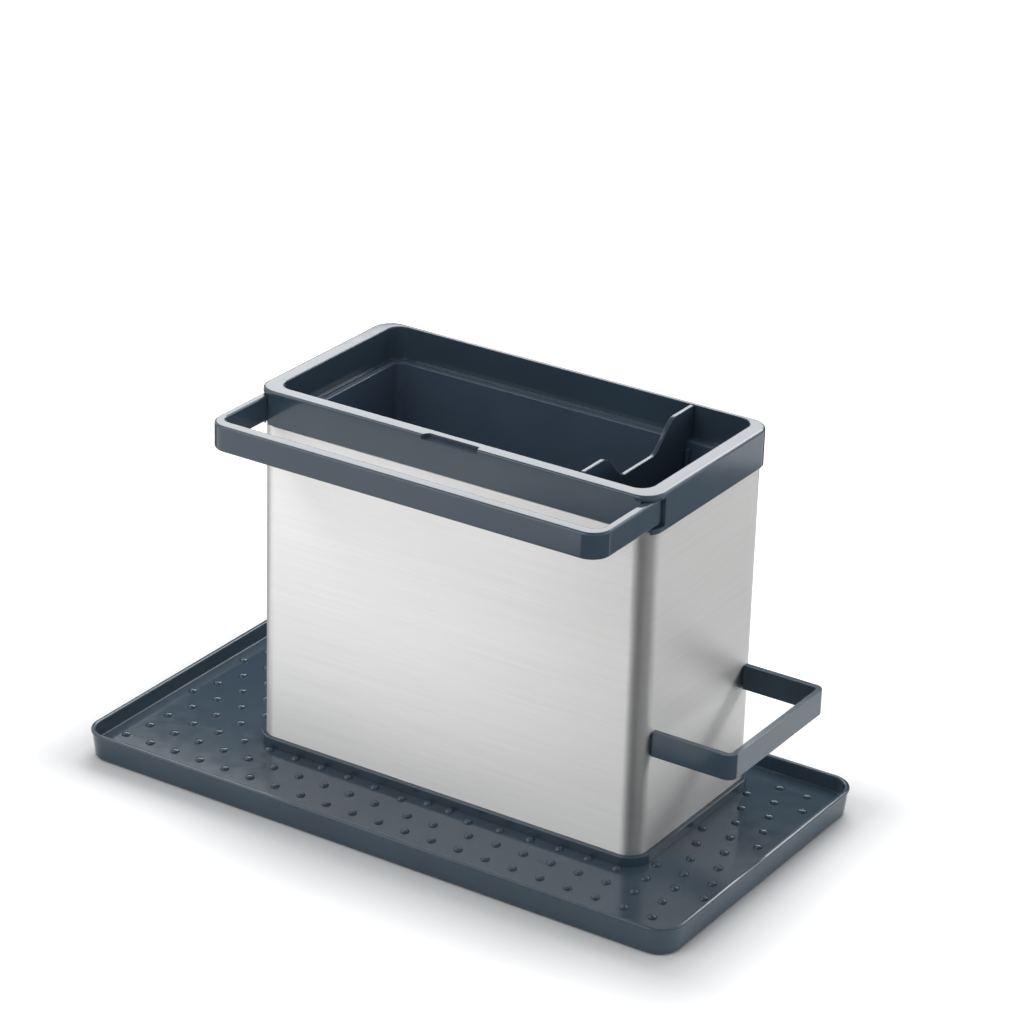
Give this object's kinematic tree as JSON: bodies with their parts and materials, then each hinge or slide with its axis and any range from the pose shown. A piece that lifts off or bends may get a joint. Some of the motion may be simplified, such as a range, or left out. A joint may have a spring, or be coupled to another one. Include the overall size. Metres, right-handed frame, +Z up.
{
  "type": "sink organizer",
  "caption": "Steel-sleeved sink caddy with a rimmed top, removable tub and divider, front towel rail and side holder, standing on a nubbed drip tray.",
  "frame": {"origin": "centre of the drip tray on the surface that the rubber feet stand on", "axes": "+X along the tray towards the side holder, +Y from the towel rail towards the back, +Z up"},
  "size_m": [0.28, 0.1482, 0.1629],
  "materials": {
    "slate_plastic": "moulded gloss slate-blue plastic",
    "tub_plastic": "moulded satin slate plastic",
    "brushed_sleeve": "stainless steel brushed along its length",
    "foot_rubber": "soft grey rubber"
  },
  "bodies": {
    "tray": {"drip_tray": "slate_plastic", "tray_foot_1": "foot_rubber", "tray_foot_2": "foot_rubber", "tray_foot_3": "foot_rubber", "tray_foot_4": "foot_rubber"},
    "caddy": {"base_frame": "slate_plastic", "steel_sleeve": "brushed_sleeve", "top_collar": "slate_plastic"},
    "tub": {"inner_tub": "tub_plastic"},
    "divider": {"cross_divider": "slate_plastic"},
    "rail": {"front_rail": "slate_plastic"},
    "holder": {"side_holder": "slate_plastic"}
  },
  "joints": [
    {"name": "caddy_lift", "type": "slide", "parent": "tray", "child": "caddy", "axis": [0, 0, 1], "range_m": [0, 0.05]},
    {"name": "tub_lift", "type": "slide", "parent": "caddy", "child": "tub", "axis": [0, 0, 1], "range_m": [0, 0.155]},
    {"name": "divider_lift", "type": "slide", "parent": "tub", "child": "divider", "axis": [0, 0, 1], "range_m": [0, 0.152]},
    {"name": "rail_pull", "type": "slide", "parent": "caddy", "child": "rail", "axis": [0, -1, 0], "range_m": [0, 0.03]},
    {"name": "holder_pull", "type": "slide", "parent": "caddy", "child": "holder", "axis": [1, 0, 0], "range_m": [0, 0.03]}
  ]
}
